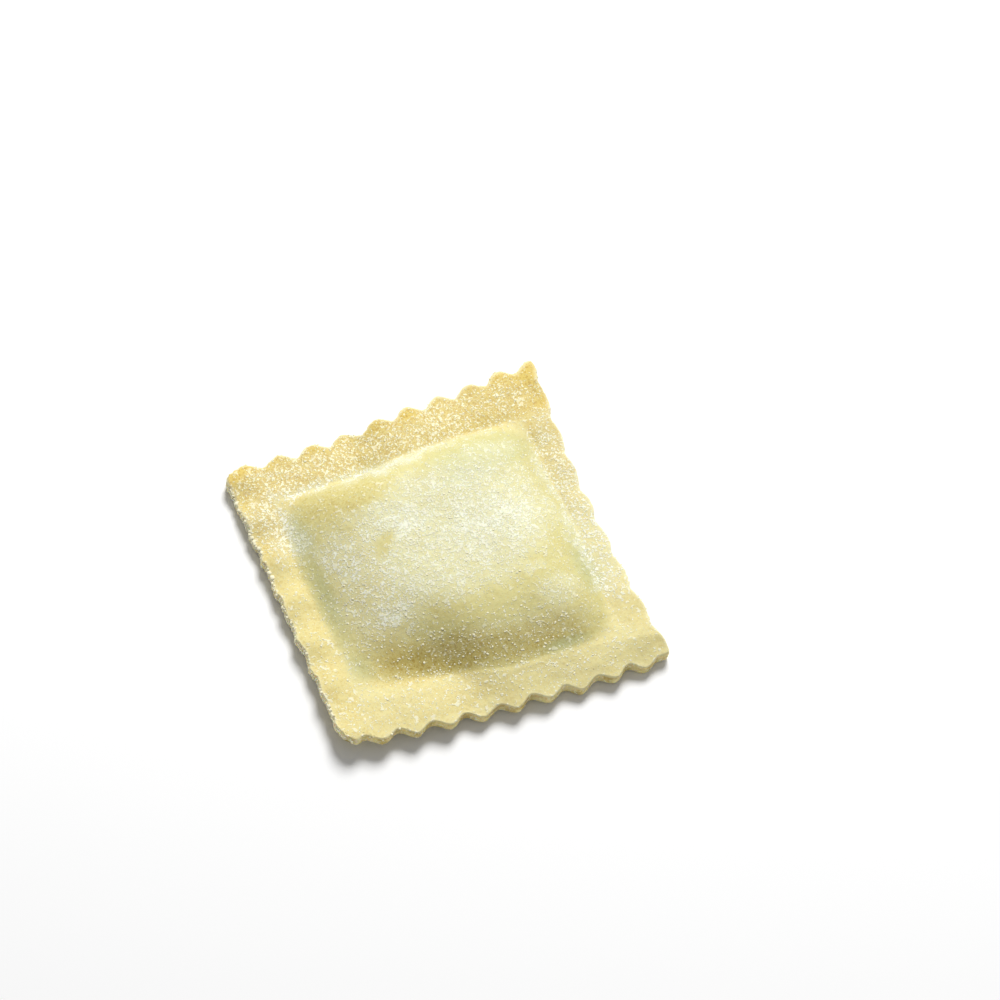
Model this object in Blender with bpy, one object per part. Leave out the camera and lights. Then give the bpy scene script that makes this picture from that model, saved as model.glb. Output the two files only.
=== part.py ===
# One square raviolo with a fluted, cut edge: a raised, filled pillow in the
# middle of a flat skirt made of two dough sheets pressed into one.
#
# Frame: metres, +Z up. The origin is on the surface the raviolo lies on, under
# the middle of its outline. +Y is towards the back side and +X towards the
# right side of the square.
import math

import bmesh
import bpy
import numpy as np

MM = 0.001

# ---------------------------------------------------------------- sizes, mm
# Corners of the cut square before the flutes are added. Hand-made: no side is
# quite as long as another, and the front left corner is the shortest.
CORNER_BACK_LEFT = (-31.8, 29.8)
CORNER_BACK_RIGHT = (31.0, 32.1)
CORNER_FRONT_RIGHT = (30.4, -32.05)
CORNER_FRONT_LEFT = (-31.0, -28.4)

# Each side, in the order back, right, front, left (clockwise from above):
# pitch   distance from one flute's crest to the next
# first   distance from the side's first corner to the first crest
# depth   from a flute's crest to its root
# notch   0 for a wave with equal crests and roots, 1 for broad lobes with
#         narrow notches between them
# bow     how far the middle of the side stands out of its straight line
# drift   how far the flutes stray from an even pitch, and turn, where they do
SIDES = (
    {"pitch": 6.39, "first": 4.21, "depth": 2.00, "notch": 0.80, "bow": -1.33, "drift": 0.15, "turn": -0.20},
    {"pitch": 7.69, "first": 0.60, "depth": 0.95, "notch": 0.90, "bow": -1.95, "drift": 0.73, "turn": -0.49},
    {"pitch": 6.19, "first": 5.05, "depth": 1.63, "notch": 0.05, "bow": 1.17, "drift": -0.10, "turn": 1.18},
    {"pitch": 5.75, "first": 4.25, "depth": 0.35, "notch": 0.20, "bow": -0.30, "drift": 0.32, "turn": 0.20},
)
EDGE_SOFTNESS = 0.42            # how far the cutter rounds the outline off
# The four corners (clockwise from the back left) are rounder than the flutes,
# and two of them are worn back by a little.
CORNER_SOFTNESS = (1.3, 0.9, 1.2, 1.6)
CORNER_CUT = (0.0, 0.45, 0.0, 0.9)

SKIRT_THICKNESS = 2.75          # two pressed sheets
CREASE_THICKNESS = 2.55         # the same where they are sealed round the filling
RIM_THICKNESS = 2.25            # the same at the cut edge
RIM_ROUND = 0.30                # rounding of the cut edge
SKIRT_LIFT = 0.55               # mean height of the skirt's underside at its edge

# How far each corner of the skirt has curled up while the dough dried.
CURL_BACK_LEFT = -0.40
CURL_BACK_RIGHT = 1.2
CURL_FRONT_RIGHT = -0.45
CURL_FRONT_LEFT = 1.9
UNDER_REACH = 3.0               # the skirt starts to lift this far inside the foot
WAVE_HEIGHT = 0.22              # soft waves that run along the skirt
WAVE_LENGTH = 17.0

# The foot of the pillow, where the dough sweeps up over the filling: its
# corners, and the radius that the foot line has at them.
FOOT_BACK_LEFT = (-25.8, 21.2)
FOOT_BACK_RIGHT = (24.4, 21.7)
FOOT_FRONT_RIGHT = (23.8, -27.2)
FOOT_FRONT_LEFT = (-25.8, -19.4)
FOOT_RADIUS = 9.0

# The filled pillow stands this far above the skirt. Each flank (back, right,
# front, left, clockwise from above) has:
# widths    how far it reaches inwards from the foot, at its first corner and at
#           its second
# shoulder  higher the squarer the pillow is there
# hollows   1 where the flank leaves the skirt at a crease, more where it sweeps
#           up softly, at its first corner and at its second
PILLOW_RISE = 7.0
APRON_RISE = 0.6                # the skirt is thicker in front of the pillow
APRON_FOOT_RISE = 1.3           # and swells towards the pillow's foot there
FLANKS = (
    {"widths": (13.0, 12.0), "shoulder": 3.0, "hollows": (1.05, 1.05)},
    {"widths": (18.0, 13.0), "shoulder": 2.2, "hollows": (1.10, 1.20)},
    {"widths": (17.0, 21.0), "shoulder": 3.0, "hollows": (1.75, 1.60)},
    {"widths": (29.0, 19.0), "shoulder": 2.9, "hollows": (1.60, 1.45)},
)
# The filling does not reach into the two front corners: how far the pillow is
# cut back across the front right and the front left corner of its foot.
FRONT_RIGHT_SLACK = 2.0
FRONT_LEFT_SLACK = 3.0
SLACK_WIDTH = 10.0
LUMP_HEIGHT = 0.16              # unevenness of the filling under the dough

REST_PATCH = 0.78               # flat underside, as a share of the foot's outline

# ---------------------------------------------------------------- mesh sizes
RING_POINTS = 240               # points round the cut edge
SKIRT_RINGS = ((0.972, 1), (0.86, 1), (0.66, 2), (0.42, 2), (0.20, 2), (0.06, 2))
PILLOW_RINGS = ((1.0, 2), (0.965, 2), (0.925, 2), (0.88, 2), (0.82, 2), (0.75, 2),
                (0.66, 2), (0.54, 4), (0.38, 4), (0.20, 4))
UNDER_RINGS = ((0.972, 1), (0.80, 2), (0.50, 2), (0.20, 2))

OUTLINE_CORNERS = (CORNER_BACK_LEFT, CORNER_BACK_RIGHT, CORNER_FRONT_RIGHT, CORNER_FRONT_LEFT)
FOOT_CORNERS = (FOOT_BACK_LEFT, FOOT_BACK_RIGHT, FOOT_FRONT_RIGHT, FOOT_FRONT_LEFT)
FOOT_SMOOTHING = 0.42 * FOOT_RADIUS


def smoothstep(t):
    t = np.clip(t, 0.0, 1.0)
    return t * t * (3.0 - 2.0 * t)


def flute(distance, side):
    """Outward offset of a fluted side at a distance from its first corner."""
    placed = distance - side["first"] - side["drift"] * np.sin(distance / 9.55 + side["turn"])
    phase = 2.0 * math.pi * placed / side["pitch"]
    wave = np.cos(phase)
    lobes = 2.0 * np.abs(np.cos(0.5 * phase)) - 1.0
    size = 1.0 + 0.14 * np.sin(0.61 * distance + 3.0 * side["first"])
    return 0.5 * side["depth"] * size * ((1.0 - side["notch"]) * wave + side["notch"] * lobes)


def softened(points, sigma):
    """A closed line of points, averaged along itself with a Gaussian."""
    reach = int(4 * sigma)
    weights = np.exp(-0.5 * (np.arange(-reach, reach + 1) / sigma) ** 2)
    weights /= weights.sum()
    return sum(w * np.roll(points, -k, axis=0) for w, k in zip(weights, range(-reach, reach + 1)))


def outline(count):
    """The cut edge seen from above: count points, clockwise from the back left corner."""
    per_side = 1200
    raw = []
    ends = []
    for i, side in enumerate(SIDES):
        a = np.array(OUTLINE_CORNERS[i])
        b = np.array(OUTLINE_CORNERS[(i + 1) % 4])
        along = b - a
        length = float(np.hypot(*along))
        normal = np.array([-along[1], along[0]]) / length
        t = np.arange(per_side) / per_side
        reach = flute(t * length, side) + 4.0 * side["bow"] * t * (1.0 - t)
        raw.append(a + t[:, None] * along + reach[:, None] * normal)
        ends.append((normal, float(flute(np.array(0.0), side)), float(flute(np.array(length), side)), length))
    for i in range(4):
        # near a corner each side also takes the other side's offset, so they meet
        normal_before, _, last, _ = ends[(i - 1) % 4]
        normal_after, first, _, _ = ends[(i + 1) % 4]
        length = ends[i][3]
        d = np.arange(per_side) / per_side * length
        raw[i] = raw[i] + (last * np.exp(-((d / 1.6) ** 2)))[:, None] * normal_before
        raw[i] = raw[i] + (first * np.exp(-(((length - d) / 1.6) ** 2)))[:, None] * normal_after
    points = np.concatenate(raw)
    step = 60.0 / per_side
    soft = softened(points, EDGE_SOFTNESS / step)
    result = soft.copy()
    for i, (softness, cut) in enumerate(zip(CORNER_SOFTNESS, CORNER_CUT)):
        softer = softened(points, softness / step)
        d = (np.arange(4 * per_side) - i * per_side + 2 * per_side) % (4 * per_side) - 2 * per_side
        near = np.exp(-((d * step / (1.6 + softness)) ** 2))[:, None]
        inward = -np.array(OUTLINE_CORNERS[i]) / math.hypot(*OUTLINE_CORNERS[i])
        result += near * (softer - soft) + cut * np.exp(-((d * step / 2.0) ** 2))[:, None] * inward
    index = np.arange(count) * (len(result) // count)
    return result[index]


def square_coordinates(x, y):
    """Place across (-1 left, 1 right) and along (-1 front, 1 back) the cut square."""
    return (x + 0.6) / 30.6, (y - 0.1) / 30.3


def foot_distances(x, y):
    """Distances inwards from the four sides of the foot (back, right, front, left)."""
    result = []
    for i in range(4):
        ax, ay = FOOT_CORNERS[i]
        bx, by = FOOT_CORNERS[(i + 1) % 4]
        length = math.hypot(bx - ax, by - ay)
        result.append(((bx - ax) * (ay - y) - (by - ay) * (ax - x)) / length)
    back, right, front, left = result
    back = back + 0.25 * np.sin(x / 7.0)
    right = right + 0.50 * np.exp(-(((y + 2.5) / 6.0) ** 2)) - 0.50 * np.exp(-(((y + 12.0) / 6.0) ** 2))
    front = front + 0.30 * np.sin(x / 6.0 + 1.0) + 1.5 * np.exp(-(((x - 2.0) / 7.0) ** 2))
    left = left + 0.25 * np.sin(y / 5.0 + 0.5)
    return back, right, front, left


def foot_distance(x, y):
    """Distance inwards from the rounded foot line."""
    d = np.stack(foot_distances(x, y))
    low = d.min(axis=0)
    total = np.exp(-(d - low) / FOOT_SMOOTHING).sum(axis=0)
    return low - FOOT_SMOOTHING * np.log(total)


def underside(x, y):
    """Height of the lower face: flat under the pillow, lifted towards the cut edge."""
    u, v = square_coordinates(x, y)
    out = smoothstep((UNDER_REACH - foot_distance(x, y)) / (UNDER_REACH + 7.0))
    back, front = 0.5 + 0.5 * v, 0.5 - 0.5 * v
    right, left = 0.5 + 0.5 * u, 0.5 - 0.5 * u
    curl = (
        CURL_BACK_LEFT * (back * left) ** 3
        + CURL_BACK_RIGHT * (back * right) ** 3
        + CURL_FRONT_RIGHT * (front * right) ** 3
        + CURL_FRONT_LEFT * (front * left) ** 3
    )
    waves = WAVE_HEIGHT * (
        np.sin(2.0 * math.pi * x / WAVE_LENGTH + 0.6) * np.abs(v) ** 3
        + np.sin(2.0 * math.pi * y / (0.55 * WAVE_LENGTH) + 1.2) * np.abs(u) ** 3 * np.where(u < 0, 1.0, 0.7)
    )
    return np.maximum((SKIRT_LIFT + curl + waves) * out, 0.0)


def flank(distance, along, side):
    """Rise of one flank, 0 at the foot and 1 where the top is level; along runs 0 to 1."""
    first, second = side["widths"]
    width = first + (second - first) * smoothstep(along)
    first, second = side["hollows"]
    hollow = first + (second - first) * smoothstep(along)
    s = np.clip(distance / width, 0.0, 1.0)
    return (1.0 - (1.0 - s) ** side["shoulder"]) ** hollow


def apron(x, y):
    """The dough in front of the pillow slopes down to the cut on its right half."""
    front = foot_distances(x, y)[2]
    slope = APRON_RISE * smoothstep((x + 10.0) / 12.0) * smoothstep((front + 9.0) / 9.0)
    near = smoothstep((x + 9.0) / 8.0) * (1.0 - 0.5 * smoothstep((x - 8.0) / 10.0))
    return slope + APRON_FOOT_RISE * near * np.clip(1.0 + front / 5.5, 0.0, 1.0) ** 2


def lumps(x, y):
    """Gentle unevenness of the filling, a few lumps across the pillow."""
    return (
        0.5 * np.sin(x / 4.1 + 0.8) * np.sin(y / 4.7 + 0.3)
        + 0.3 * np.sin(x / 2.6 - y / 3.9 + 1.9)
        + 0.2 * np.sin(x / 7.3 + y / 3.1 + 4.0)
    )


def pillow(x, y):
    """Height of the filled pillow above the skirt."""
    u, v = square_coordinates(x, y)
    across, up = 0.5 + 0.5 * u, 0.5 + 0.5 * v
    rise = 1.0
    for distance, along, side in zip(foot_distances(x, y), (across, 1.0 - up, 1.0 - across, up), FLANKS):
        rise = rise * flank(distance, along, side)
    for corner, slack, turn in ((FOOT_FRONT_RIGHT, FRONT_RIGHT_SLACK, -1.0), (FOOT_FRONT_LEFT, FRONT_LEFT_SLACK, 1.0)):
        distance = math.sqrt(0.5) * (turn * (x - corner[0]) + (y - corner[1])) - slack
        s = smoothstep((distance + 0.4 * SLACK_WIDTH) / (1.4 * SLACK_WIDTH))
        rise = rise * (1.0 - (1.0 - s) ** 1.5)
    low = apron(x, y)
    return low + (PILLOW_RISE - low + LUMP_HEIGHT * lumps(x, y)) * rise


def upper_side(x, y):
    """Height of the upper face of skirt and pillow, before the rim is rounded."""
    outward = -foot_distance(x, y)
    thickness = (
        CREASE_THICKNESS
        + (SKIRT_THICKNESS - CREASE_THICKNESS) * smoothstep(outward / 3.5)
        + (RIM_THICKNESS - SKIRT_THICKNESS) * smoothstep((outward - 1.0) / 7.0)
    )
    return underside(x, y) + thickness + pillow(x, y)


def foot_outline(points, centre):
    """Where the line from the centre to each outline point crosses the foot line."""
    low = np.zeros(len(points))
    high = np.ones(len(points))
    for _ in range(40):
        mid = 0.5 * (low + high)
        p = centre + mid[:, None] * (points - centre)
        inside = foot_distance(p[:, 0], p[:, 1]) > 0.0
        low = np.where(inside, mid, low)
        high = np.where(inside, high, mid)
    return centre + low[:, None] * (points - centre)


def ring_at(cut, foot, plain_cut, share):
    """Ring between the foot line (0) and the cut edge (1); the flutes fade inwards."""
    base = foot + share * (plain_cut - foot)
    return base + (cut - plain_cut) * max(0.0, (share - 0.45) / 0.55) ** 2


def make_raviolo():
    cut = outline(RING_POINTS)
    # the cut edge without its flutes: a wide circular average of it
    reach = 3
    plain_cut = sum(np.roll(cut, k, axis=0) for k in range(-reach, reach + 1)) / (2 * reach + 1)
    centre = np.mean(np.array(FOOT_CORNERS), axis=0)
    foot = foot_outline(plain_cut, centre)

    vertices = []

    def add(points, heights):
        start = len(vertices)
        for p, z in zip(points, heights):
            vertices.append((float(p[0]), float(p[1]), float(z)))
        return list(range(start, len(vertices)))

    # upper rings, from the cut edge inwards
    upper = []
    rim = upper_side(cut[:, 0], cut[:, 1]) - RIM_ROUND
    upper.append(add(cut, rim))
    for share, skip in SKIRT_RINGS:
        p = ring_at(cut, foot, plain_cut, share)[::skip]
        upper.append(add(p, upper_side(p[:, 0], p[:, 1])))
    for share, skip in PILLOW_RINGS:
        p = (centre + share * (foot - centre))[::skip]
        upper.append(add(p, upper_side(p[:, 0], p[:, 1])))
    top = add([centre], upper_side(np.array([centre[0]]), np.array([centre[1]])))[0]

    # lower rings, from the cut edge inwards to the flat patch it rests on
    lower = []
    under = underside(cut[:, 0], cut[:, 1]) + RIM_ROUND
    lower.append(add(cut, under))
    for share, skip in UNDER_RINGS:
        p = ring_at(cut, foot, plain_cut, share)[::skip]
        lower.append(add(p, underside(p[:, 0], p[:, 1])))
    p = (centre + REST_PATCH * (foot - centre))[::4]
    patch = add(p, np.zeros(len(p)))
    lower.append(patch)

    bm = bmesh.new()
    bv = [bm.verts.new(v) for v in vertices]

    def face(*index):
        bm.faces.new([bv[i] for i in index])

    def bridge(outer, inner, flip):
        ratio = len(outer) // len(inner)
        n = len(inner)
        for i in range(n):
            a, b = inner[i], inner[(i + 1) % n]
            if ratio == 1:
                quad = (outer[i], outer[(i + 1) % n], b, a)
                face(*(quad[::-1] if flip else quad))
            else:
                o = [outer[(2 * i + k) % len(outer)] for k in range(3)]
                for tri in ((o[0], o[1], a), (o[1], b, a), (o[1], o[2], b)):
                    face(*(tri[::-1] if flip else tri))

    for outer, inner in zip(upper, upper[1:]):
        bridge(outer, inner, False)
    last = upper[-1]
    for i in range(len(last)):
        face(last[i], last[(i + 1) % len(last)], top)
    for outer, inner in zip(lower, lower[1:]):
        bridge(outer, inner, True)
    face(*patch[::-1])
    bridge(upper[0], lower[0], True)

    bmesh.ops.recalc_face_normals(bm, faces=bm.faces[:])

    # origin: under the middle of the outline, on the surface it lies on
    xs = [v.co.x for v in bm.verts]
    ys = [v.co.y for v in bm.verts]
    middle = (0.5 * (min(xs) + max(xs)), 0.5 * (min(ys) + max(ys)))
    for v in bm.verts:
        v.co.x = (v.co.x - middle[0]) * MM
        v.co.y = (v.co.y - middle[1]) * MM
        v.co.z = v.co.z * MM

    mesh = bpy.data.meshes.new("raviolo")
    bm.to_mesh(mesh)
    bm.free()
    mesh.shade_smooth()
    mesh.set_sharp_from_angle(angle=math.radians(50.0))
    return mesh


def dough_material():
    material = bpy.data.materials.new("egg_dough")
    material.use_nodes = True
    shader = material.node_tree.nodes["Principled BSDF"]
    shader.inputs["Base Color"].default_value = (0.79, 0.70, 0.36, 1.0)
    shader.inputs["Roughness"].default_value = 0.72
    shader.inputs["Metallic"].default_value = 0.0
    return material


for thing in list(bpy.data.objects):
    bpy.data.objects.remove(thing, do_unlink=True)

raviolo = bpy.data.objects.new("raviolo", make_raviolo())
raviolo.data.materials.append(dough_material())
bpy.context.scene.collection.objects.link(raviolo)
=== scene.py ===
import math

import bpy
import numpy as np

from mathutils import Matrix, Vector


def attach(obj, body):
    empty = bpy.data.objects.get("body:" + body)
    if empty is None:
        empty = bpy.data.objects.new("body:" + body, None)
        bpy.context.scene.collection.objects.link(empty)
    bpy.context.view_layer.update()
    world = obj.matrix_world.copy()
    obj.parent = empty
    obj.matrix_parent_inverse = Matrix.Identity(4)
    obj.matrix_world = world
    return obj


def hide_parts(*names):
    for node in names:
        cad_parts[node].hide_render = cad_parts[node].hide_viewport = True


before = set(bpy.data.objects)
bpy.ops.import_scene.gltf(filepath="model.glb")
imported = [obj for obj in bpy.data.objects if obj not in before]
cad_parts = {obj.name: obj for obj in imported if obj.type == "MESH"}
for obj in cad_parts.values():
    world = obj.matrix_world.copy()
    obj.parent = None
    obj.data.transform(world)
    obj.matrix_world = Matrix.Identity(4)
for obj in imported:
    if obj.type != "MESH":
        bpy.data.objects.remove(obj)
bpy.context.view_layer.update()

MM = 0.001

# ------------------------------------------------------------------ shape, mm
# The same form as the CAD solid.
CORNERS = ((-31.8, 29.8), (31.0, 32.1), (30.4, -32.05), (-31.0, -28.4))
SIDES = (
    {"pitch": 6.39, "first": 4.21, "depth": 2.00, "notch": 0.80, "bow": -1.33, "drift": 0.15, "turn": -0.20},
    {"pitch": 7.69, "first": 0.60, "depth": 0.95, "notch": 0.90, "bow": -1.95, "drift": 0.73, "turn": -0.49},
    {"pitch": 6.19, "first": 5.05, "depth": 1.63, "notch": 0.05, "bow": 1.17, "drift": -0.10, "turn": 1.18},
    {"pitch": 5.75, "first": 4.25, "depth": 0.35, "notch": 0.20, "bow": -0.30, "drift": 0.32, "turn": 0.20},
)
EDGE_SOFTNESS = 0.42
CORNER_SOFTNESS = (1.3, 0.9, 1.2, 1.6)
CORNER_CUT = (0.0, 0.45, 0.0, 0.9)
CREASE_THICKNESS = 2.55
SKIRT_THICKNESS = 2.75
RIM_THICKNESS = 2.25
SKIRT_LIFT = 0.55
CURL_BACK_LEFT = -0.40
CURL_BACK_RIGHT = 1.2
CURL_FRONT_RIGHT = -0.45
CURL_FRONT_LEFT = 1.9
UNDER_REACH = 3.0
WAVE_HEIGHT = 0.22
WAVE_LENGTH = 17.0
FOOT = ((-25.8, 21.2), (24.4, 21.7), (23.8, -27.2), (-25.8, -19.4))
FOOT_SMOOTHING = 0.42 * 9.0
PILLOW_RISE = 7.0
APRON_RISE = 0.6
APRON_FOOT_RISE = 1.3
FLANKS = (
    {"widths": (13.0, 12.0), "shoulder": 3.0, "hollows": (1.05, 1.05)},
    {"widths": (18.0, 13.0), "shoulder": 2.2, "hollows": (1.10, 1.20)},
    {"widths": (17.0, 21.0), "shoulder": 3.0, "hollows": (1.75, 1.60)},
    {"widths": (29.0, 19.0), "shoulder": 2.9, "hollows": (1.60, 1.45)},
)
FRONT_RIGHT_SLACK = 2.0
FRONT_LEFT_SLACK = 3.0
SLACK_WIDTH = 10.0
LUMP_HEIGHT = 0.16


def smoothstep(t):
    t = np.clip(t, 0.0, 1.0)
    return t * t * (3.0 - 2.0 * t)


def flute(distance, side):
    """Outward reach of the zigzag cut at a distance along a side."""
    placed = distance - side["first"] - side["drift"] * np.sin(distance / 9.55 + side["turn"])
    phase = 2.0 * math.pi * placed / side["pitch"]
    wave = np.cos(phase)
    lobes = 2.0 * np.abs(np.cos(0.5 * phase)) - 1.0
    size = 1.0 + 0.14 * np.sin(0.61 * distance + 3.0 * side["first"])
    return 0.5 * side["depth"] * size * ((1.0 - side["notch"]) * wave + side["notch"] * lobes)


PER_SIDE = 1200


def softened(points, sigma):
    """A closed line of points, averaged along itself with a Gaussian."""
    reach = int(4 * sigma)
    weights = np.exp(-0.5 * (np.arange(-reach, reach + 1) / sigma) ** 2)
    weights /= weights.sum()
    return sum(w * np.roll(points, -k, axis=0) for w, k in zip(weights, range(-reach, reach + 1)))


def dense_outline():
    """The cut edge seen from above, 1200 points a side, clockwise from the back left."""
    raw = []
    ends = []
    for i, side in enumerate(SIDES):
        a = np.array(CORNERS[i])
        b = np.array(CORNERS[(i + 1) % 4])
        along = b - a
        length = float(np.hypot(*along))
        normal = np.array([-along[1], along[0]]) / length
        t = np.arange(PER_SIDE) / PER_SIDE
        reach = flute(t * length, side) + 4.0 * side["bow"] * t * (1.0 - t)
        raw.append(a + t[:, None] * along + reach[:, None] * normal)
        ends.append((normal, float(flute(np.array(0.0), side)), float(flute(np.array(length), side)), length))
    for i in range(4):
        normal_before, _, last, _ = ends[(i - 1) % 4]
        normal_after, first, _, _ = ends[(i + 1) % 4]
        length = ends[i][3]
        d = np.arange(PER_SIDE) / PER_SIDE * length
        raw[i] = raw[i] + (last * np.exp(-((d / 1.6) ** 2)))[:, None] * normal_before
        raw[i] = raw[i] + (first * np.exp(-(((length - d) / 1.6) ** 2)))[:, None] * normal_after
    points = np.concatenate(raw)
    step = 60.0 / PER_SIDE
    soft = softened(points, EDGE_SOFTNESS / step)
    result = soft.copy()
    for i, (softness, cut) in enumerate(zip(CORNER_SOFTNESS, CORNER_CUT)):
        softer = softened(points, softness / step)
        d = (np.arange(4 * PER_SIDE) - i * PER_SIDE + 2 * PER_SIDE) % (4 * PER_SIDE) - 2 * PER_SIDE
        near = np.exp(-((d * step / (1.6 + softness)) ** 2))[:, None]
        inward = -np.array(CORNERS[i]) / math.hypot(*CORNERS[i])
        result += near * (softer - soft) + cut * np.exp(-((d * step / 2.0) ** 2))[:, None] * inward
    return result


def square_coordinates(x, y):
    return (x + 0.6) / 30.6, (y - 0.1) / 30.3


def foot_distances(x, y):
    result = []
    for i in range(4):
        ax, ay = FOOT[i]
        bx, by = FOOT[(i + 1) % 4]
        length = math.hypot(bx - ax, by - ay)
        result.append(((bx - ax) * (ay - y) - (by - ay) * (ax - x)) / length)
    back, right, front, left = result
    back = back + 0.25 * np.sin(x / 7.0)
    right = right + 0.50 * np.exp(-(((y + 2.5) / 6.0) ** 2)) - 0.50 * np.exp(-(((y + 12.0) / 6.0) ** 2))
    front = front + 0.30 * np.sin(x / 6.0 + 1.0) + 1.5 * np.exp(-(((x - 2.0) / 7.0) ** 2))
    left = left + 0.25 * np.sin(y / 5.0 + 0.5)
    return back, right, front, left


def foot_distance(x, y):
    d = np.stack(foot_distances(x, y))
    low = d.min(axis=0)
    total = np.exp(-(d - low) / FOOT_SMOOTHING).sum(axis=0)
    return low - FOOT_SMOOTHING * np.log(total)


def underside(x, y):
    u, v = square_coordinates(x, y)
    out = smoothstep((UNDER_REACH - foot_distance(x, y)) / (UNDER_REACH + 7.0))
    back, front = 0.5 + 0.5 * v, 0.5 - 0.5 * v
    right, left = 0.5 + 0.5 * u, 0.5 - 0.5 * u
    curl = (
        CURL_BACK_LEFT * (back * left) ** 3
        + CURL_BACK_RIGHT * (back * right) ** 3
        + CURL_FRONT_RIGHT * (front * right) ** 3
        + CURL_FRONT_LEFT * (front * left) ** 3
    )
    waves = WAVE_HEIGHT * (
        np.sin(2.0 * math.pi * x / WAVE_LENGTH + 0.6) * np.abs(v) ** 3
        + np.sin(2.0 * math.pi * y / (0.55 * WAVE_LENGTH) + 1.2) * np.abs(u) ** 3 * np.where(u < 0, 1.0, 0.7)
    )
    return np.maximum((SKIRT_LIFT + curl + waves) * out, 0.0)


def flank(distance, along, side):
    first, second = side["widths"]
    width = first + (second - first) * smoothstep(along)
    first, second = side["hollows"]
    hollow = first + (second - first) * smoothstep(along)
    s = np.clip(distance / width, 0.0, 1.0)
    return (1.0 - (1.0 - s) ** side["shoulder"]) ** hollow


def apron(x, y):
    """The dough in front of the pillow slopes down to the cut on its right half."""
    front = foot_distances(x, y)[2]
    slope = APRON_RISE * smoothstep((x + 10.0) / 12.0) * smoothstep((front + 9.0) / 9.0)
    near = smoothstep((x + 9.0) / 8.0) * (1.0 - 0.5 * smoothstep((x - 8.0) / 10.0))
    return slope + APRON_FOOT_RISE * near * np.clip(1.0 + front / 5.5, 0.0, 1.0) ** 2


def lumps(x, y):
    return (
        0.5 * np.sin(x / 4.1 + 0.8) * np.sin(y / 4.7 + 0.3)
        + 0.3 * np.sin(x / 2.6 - y / 3.9 + 1.9)
        + 0.2 * np.sin(x / 7.3 + y / 3.1 + 4.0)
    )


def pillow(x, y):
    u, v = square_coordinates(x, y)
    across, up = 0.5 + 0.5 * u, 0.5 + 0.5 * v
    rise = 1.0
    for distance, along, side in zip(foot_distances(x, y), (across, 1.0 - up, 1.0 - across, up), FLANKS):
        rise = rise * flank(distance, along, side)
    for corner, slack, turn in ((FOOT[2], FRONT_RIGHT_SLACK, -1.0), (FOOT[3], FRONT_LEFT_SLACK, 1.0)):
        distance = math.sqrt(0.5) * (turn * (x - corner[0]) + (y - corner[1])) - slack
        s = smoothstep((distance + 0.4 * SLACK_WIDTH) / (1.4 * SLACK_WIDTH))
        rise = rise * (1.0 - (1.0 - s) ** 1.5)
    low = apron(x, y)
    return low + (PILLOW_RISE - low + LUMP_HEIGHT * lumps(x, y)) * rise


def smooth_upper_side(x, y):
    outward = -foot_distance(x, y)
    thickness = (
        CREASE_THICKNESS
        + (SKIRT_THICKNESS - CREASE_THICKNESS) * smoothstep(outward / 3.5)
        + (RIM_THICKNESS - SKIRT_THICKNESS) * smoothstep((outward - 1.0) / 7.0)
    )
    return underside(x, y) + thickness + pillow(x, y)


# ------------------------------------------------------------------ noise
def noise(x, y, cell, seed):
    """Smooth gradient noise, about -1 to 1."""
    rng = np.random.default_rng(seed)
    turn = rng.uniform(0.0, 2.0 * math.pi, (128, 128))
    gx, gy = np.cos(turn), np.sin(turn)
    px = np.asarray(x) / cell + 57.3
    py = np.asarray(y) / cell + 41.9
    i = np.floor(px).astype(int)
    j = np.floor(py).astype(int)
    fx, fy = px - i, py - j
    u = fx * fx * fx * (fx * (fx * 6.0 - 15.0) + 10.0)
    v = fy * fy * fy * (fy * (fy * 6.0 - 15.0) + 10.0)

    def corner(a, b):
        ii, jj = (i + a) % 128, (j + b) % 128
        return gx[ii, jj] * (fx - a) + gy[ii, jj] * (fy - b)

    low = corner(0, 0) * (1 - u) + corner(1, 0) * u
    high = corner(0, 1) * (1 - u) + corner(1, 1) * u
    return 1.5 * (low * (1 - v) + high * v)


def fractal(x, y, cell, seed, octaves=3, gain=0.5):
    total = 0.0
    size = 1.0
    for k in range(octaves):
        total = total + size * noise(x, y, cell / 2.0**k, seed + 17 * k)
        size *= gain
    return total


def blob(x, y, cx, cy, rx, ry, turn=0.0, soft=0.5):
    """1 inside an ellipse, 0 outside, soft across its edge."""
    c, s = math.cos(math.radians(turn)), math.sin(math.radians(turn))
    dx, dy = x - cx, y - cy
    r = np.hypot((dx * c + dy * s) / rx, (-dx * s + dy * c) / ry)
    return smoothstep((1.0 + soft - r) / (2.0 * soft))


def line(x, y, ax, ay, bx, by, width):
    """1 on a straight line, falling off to 0 over width, with soft ends."""
    dx, dy = bx - ax, by - ay
    length = math.hypot(dx, dy)
    t = ((x - ax) * dx + (y - ay) * dy) / length
    off = ((x - ax) * dy - (y - ay) * dx) / length
    over = np.maximum(np.maximum(-t, t - length), 0.0)
    return np.exp(-((off / width) ** 2) - (over / 1.5) ** 2)


# ------------------------------------------------------------------ dough mesh
EDGE = dense_outline()
_cad_ring = EDGE[:: 4 * PER_SIDE // 240]
MIDDLE = 0.5 * (_cad_ring.min(axis=0) + _cad_ring.max(axis=0))

_step = np.roll(EDGE, -6, axis=0) - np.roll(EDGE, 6, axis=0)
_step /= np.hypot(_step[:, 0], _step[:, 1])[:, None]
EDGE_NORMAL = np.stack([-_step[:, 1], _step[:, 0]], axis=1)


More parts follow.
